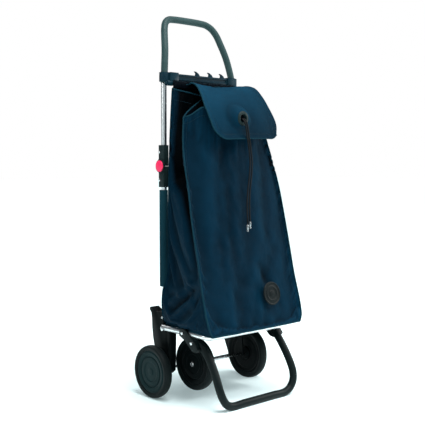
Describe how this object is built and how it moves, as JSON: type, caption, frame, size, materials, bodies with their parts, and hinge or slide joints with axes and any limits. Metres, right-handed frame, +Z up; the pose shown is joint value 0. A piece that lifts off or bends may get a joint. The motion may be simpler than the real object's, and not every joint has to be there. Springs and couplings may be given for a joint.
{
  "type": "folding shopping trolley",
  "caption": "Folding shopping trolley: aluminium frame with loop handle, fold-up platform with loop foot, two pairs of wheels and a tall flap-topped fabric bag.",
  "frame": {"origin": "on the floor, under the middle of the trolley's bounding box", "axes": "+Z up, the bag's front faces -Y, the user and the handle are towards +Y, +X is to the right seen from the front"},
  "size_m": [0.404, 0.331, 1.0999],
  "materials": {
    "aluminium_tube": "satin",
    "handle_coating": "matt soft coating, dark grey-green",
    "foot_coating": "satin powder coat, charcoal",
    "black_plastic": "matt, fine moulded texture",
    "button_plastic": "smooth, pinkish red",
    "tyre_rubber": "matt",
    "wheel_plastic": "matt, dark grey-green",
    "bright_steel": "bright zinc",
    "bag_fabric": "woven polyester, petrol navy",
    "black_cord": "braided"
  },
  "bodies": {
    "lower_frame": {"lower_upright_left": "aluminium_tube", "lower_upright_right": "aluminium_tube", "fold_housing_lower_left": "black_plastic", "fold_housing_lower_right": "black_plastic", "fold_pin_left": "bright_steel", "fold_pin_right": "bright_steel", "rear_bracket_left": "black_plastic", "rear_bracket_right": "black_plastic", "rear_axle": "bright_steel", "rear_axle_spacer_left": "black_plastic", "rear_axle_spacer_right": "black_plastic", "platform_pivot_pin_left": "bright_steel", "platform_pivot_pin_right": "bright_steel", "bag_body": "bag_fabric", "bag_sleeve_left": "bag_fabric", "bag_sleeve_right": "bag_fabric", "bag_badge": "black_plastic"},
    "bag_top": {"bag_hem_stiffener": "black_plastic", "draw_cord_1": "black_cord", "draw_cord_2": "black_cord", "cord_tip_1": "bright_steel", "cord_tip_2": "bright_steel"},
    "upper_frame": {"upper_upright_left": "aluminium_tube", "upper_upright_right": "aluminium_tube", "fold_housing_upper_left": "black_plastic", "fold_housing_upper_right": "black_plastic", "handle_loop": "handle_coating", "crossbar": "black_plastic", "bag_hanger_rod": "black_plastic", "crossbar_clamp_left": "black_plastic", "crossbar_clamp_right": "black_plastic", "button_spring_left": "bright_steel", "button_spring_right": "bright_steel"},
    "button_left": {"release_button_left": "button_plastic"},
    "button_right": {"release_button_right": "button_plastic"},
    "platform": {"base_frame": "aluminium_tube", "base_cross_tube": "aluminium_tube", "loop_foot": "foot_coating", "foot_connector_left": "black_plastic", "foot_connector_right": "black_plastic", "foot_rivet_upper_left": "bright_steel", "foot_rivet_upper_right": "bright_steel", "foot_rivet_lower_left": "bright_steel", "foot_rivet_lower_right": "bright_steel", "axle_strut_left": "black_plastic", "axle_strut_right": "black_plastic", "front_axle": "bright_steel", "front_axle_nut_left": "bright_steel", "front_axle_nut_right": "bright_steel", "bag_base_board": "black_plastic"},
    "flap": {"bag_flap": "bag_fabric", "flap_eyelet": "black_plastic"},
    "rear_wheel_left": {"rear_wheel_left_tyre": "tyre_rubber", "rear_wheel_left_hub": "wheel_plastic"},
    "rear_wheel_right": {"rear_wheel_right_tyre": "tyre_rubber", "rear_wheel_right_hub": "wheel_plastic"},
    "front_wheel_left": {"front_wheel_left_tyre": "tyre_rubber", "front_wheel_left_hub": "wheel_plastic"},
    "front_wheel_right": {"front_wheel_right_tyre": "tyre_rubber", "front_wheel_right_hub": "wheel_plastic"}
  },
  "joints": [
    {"name": "frame_fold", "type": "hinge", "parent": "lower_frame", "child": "upper_frame", "pos_m": [0, 0.116, 0.658], "axis": [-1, 0, 0], "range_deg": [0, 170], "deforming": ["bag_body", "bag_sleeve_left", "bag_sleeve_right"]},
    {"name": "platform_fold", "type": "hinge", "parent": "lower_frame", "child": "platform", "pos_m": [0, 0.07, 0.195], "axis": [-1, 0, 0], "range_deg": [0, 80], "deforming": ["bag_body", "bag_badge"]},
    {"name": "bag_drop", "type": "slide", "parent": "lower_frame", "child": "bag_top", "axis": [0, 0, -1], "range_m": [0, 0.08], "deforming": ["bag_body", "draw_cord_1", "draw_cord_2", "cord_tip_1", "cord_tip_2"]},
    {"name": "flap_open", "type": "hinge", "parent": "bag_top", "child": "flap", "pos_m": [0, 0.074, 0.8885], "axis": [-1, 0, 0], "range_deg": [0, 65], "deforming": ["bag_body", "draw_cord_1", "draw_cord_2", "cord_tip_1", "cord_tip_2"]},
    {"name": "button_left_press", "type": "slide", "parent": "upper_frame", "child": "button_left", "axis": [1, 0, 0], "range_m": [0, 0.002], "stiffness_N_per_m": 1500, "springref_m": -0.001},
    {"name": "button_right_press", "type": "slide", "parent": "upper_frame", "child": "button_right", "axis": [-1, 0, 0], "range_m": [0, 0.002], "stiffness_N_per_m": 1500, "springref_m": -0.001},
    {"name": "rear_wheel_left_spin", "type": "hinge", "parent": "lower_frame", "child": "rear_wheel_left", "pos_m": [0, 0.084, 0.075], "axis": [1, 0, 0], "continuous": true},
    {"name": "rear_wheel_right_spin", "type": "hinge", "parent": "lower_frame", "child": "rear_wheel_right", "pos_m": [0, 0.084, 0.075], "axis": [1, 0, 0], "continuous": true},
    {"name": "front_wheel_left_spin", "type": "hinge", "parent": "platform", "child": "front_wheel_left", "pos_m": [0, 0, 0.099], "axis": [1, 0, 0], "continuous": true},
    {"name": "front_wheel_right_spin", "type": "hinge", "parent": "platform", "child": "front_wheel_right", "pos_m": [0, 0, 0.099], "axis": [1, 0, 0], "continuous": true}
  ],
  "couplings": [
    {"joint": "bag_drop", "follows": "frame_fold", "m_per_rad": 0.02696}
  ]
}
